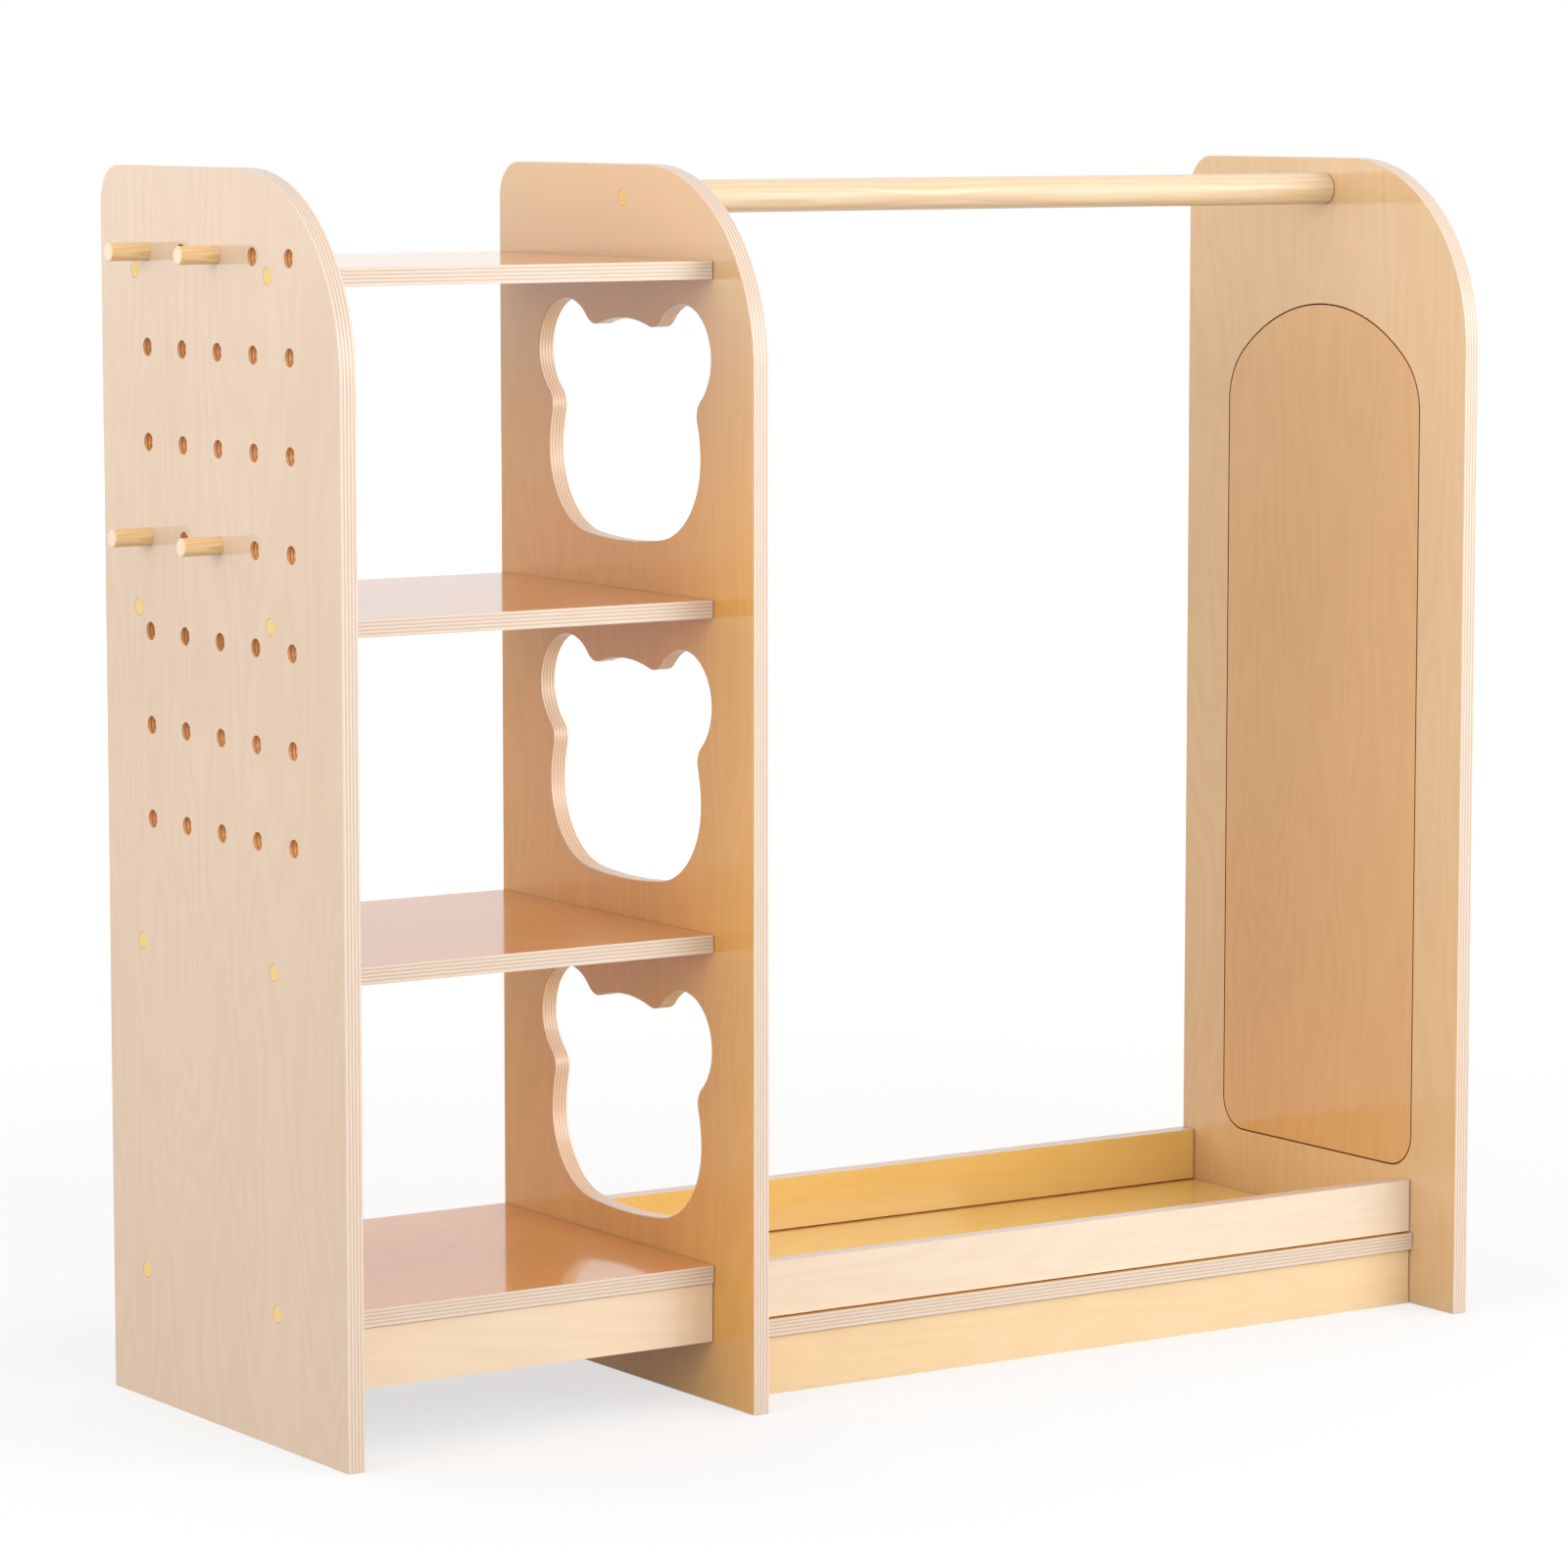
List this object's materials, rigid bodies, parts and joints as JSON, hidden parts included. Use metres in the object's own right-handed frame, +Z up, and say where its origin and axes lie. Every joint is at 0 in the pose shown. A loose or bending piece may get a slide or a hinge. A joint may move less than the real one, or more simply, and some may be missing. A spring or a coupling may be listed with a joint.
{
  "type": "dress-up storage unit with mirror",
  "caption": "Free-standing plywood dress-up unit for children: shelf column with a peg board and bear-shaped cut-outs, hanging bay with rail and low tray, arched mirror on the end panel.",
  "frame": {"origin": "on the floor, midway between the peg tips and the mirror face, and midway between the front and back edges of the upright panels", "axes": "+X from the peg board to the mirror, +Y from the open front to the back, +Z up"},
  "size_m": [1.185, 0.4, 1.03],
  "materials": {
    "pale_plywood": "clear gloss lacquer on birch plywood, pale",
    "plywood": "clear gloss lacquer on birch plywood, warm",
    "rail_pine": "clear gloss lacquer on round pine",
    "peg_wood": "clear lacquered dowel wood",
    "screw_steel": "zinc plated",
    "cap_plastic": "smooth yellow plastic",
    "mirror": "silvered acrylic sheet"
  },
  "bodies": {
    "unit": {"left_panel": "pale_plywood", "middle_panel": "plywood", "right_panel": "plywood", "bottom_shelf": "plywood", "lower_shelf": "plywood", "upper_shelf": "plywood", "top_shelf": "plywood", "shelf_plinth": "plywood", "hanging_rail": "rail_pine", "tray_floor": "plywood", "tray_front_rail": "pale_plywood", "tray_back_rail": "plywood", "tray_plinth": "pale_plywood", "mirror_sheet": "mirror", "mirror_backing": "plywood", "left_shelf_screws": "screw_steel", "left_shelf_caps": "cap_plastic", "middle_shelf_screws": "screw_steel", "middle_shelf_caps": "cap_plastic", "rail_screws": "screw_steel", "rail_caps": "cap_plastic", "tray_screws": "screw_steel", "tray_caps": "cap_plastic", "shelf_plinth_dowels": "peg_wood", "tray_plinth_dowels": "peg_wood", "front_rail_dowels": "peg_wood", "back_rail_dowels": "peg_wood"},
    "upper_rear_peg": {"upper_rear_peg": "peg_wood"},
    "upper_front_peg": {"upper_front_peg": "peg_wood"},
    "lower_rear_peg": {"lower_rear_peg": "peg_wood"},
    "lower_front_peg": {"lower_front_peg": "peg_wood"}
  },
  "joints": [
    {"name": "upper_rear_peg_pull", "type": "slide", "parent": "unit", "child": "upper_rear_peg", "axis": [-1, 0, 0], "range_m": [0, 0.018]},
    {"name": "upper_front_peg_pull", "type": "slide", "parent": "unit", "child": "upper_front_peg", "axis": [-1, 0, 0], "range_m": [0, 0.018]},
    {"name": "lower_rear_peg_pull", "type": "slide", "parent": "unit", "child": "lower_rear_peg", "axis": [-1, 0, 0], "range_m": [0, 0.018]},
    {"name": "lower_front_peg_pull", "type": "slide", "parent": "unit", "child": "lower_front_peg", "axis": [-1, 0, 0], "range_m": [0, 0.018]}
  ]
}
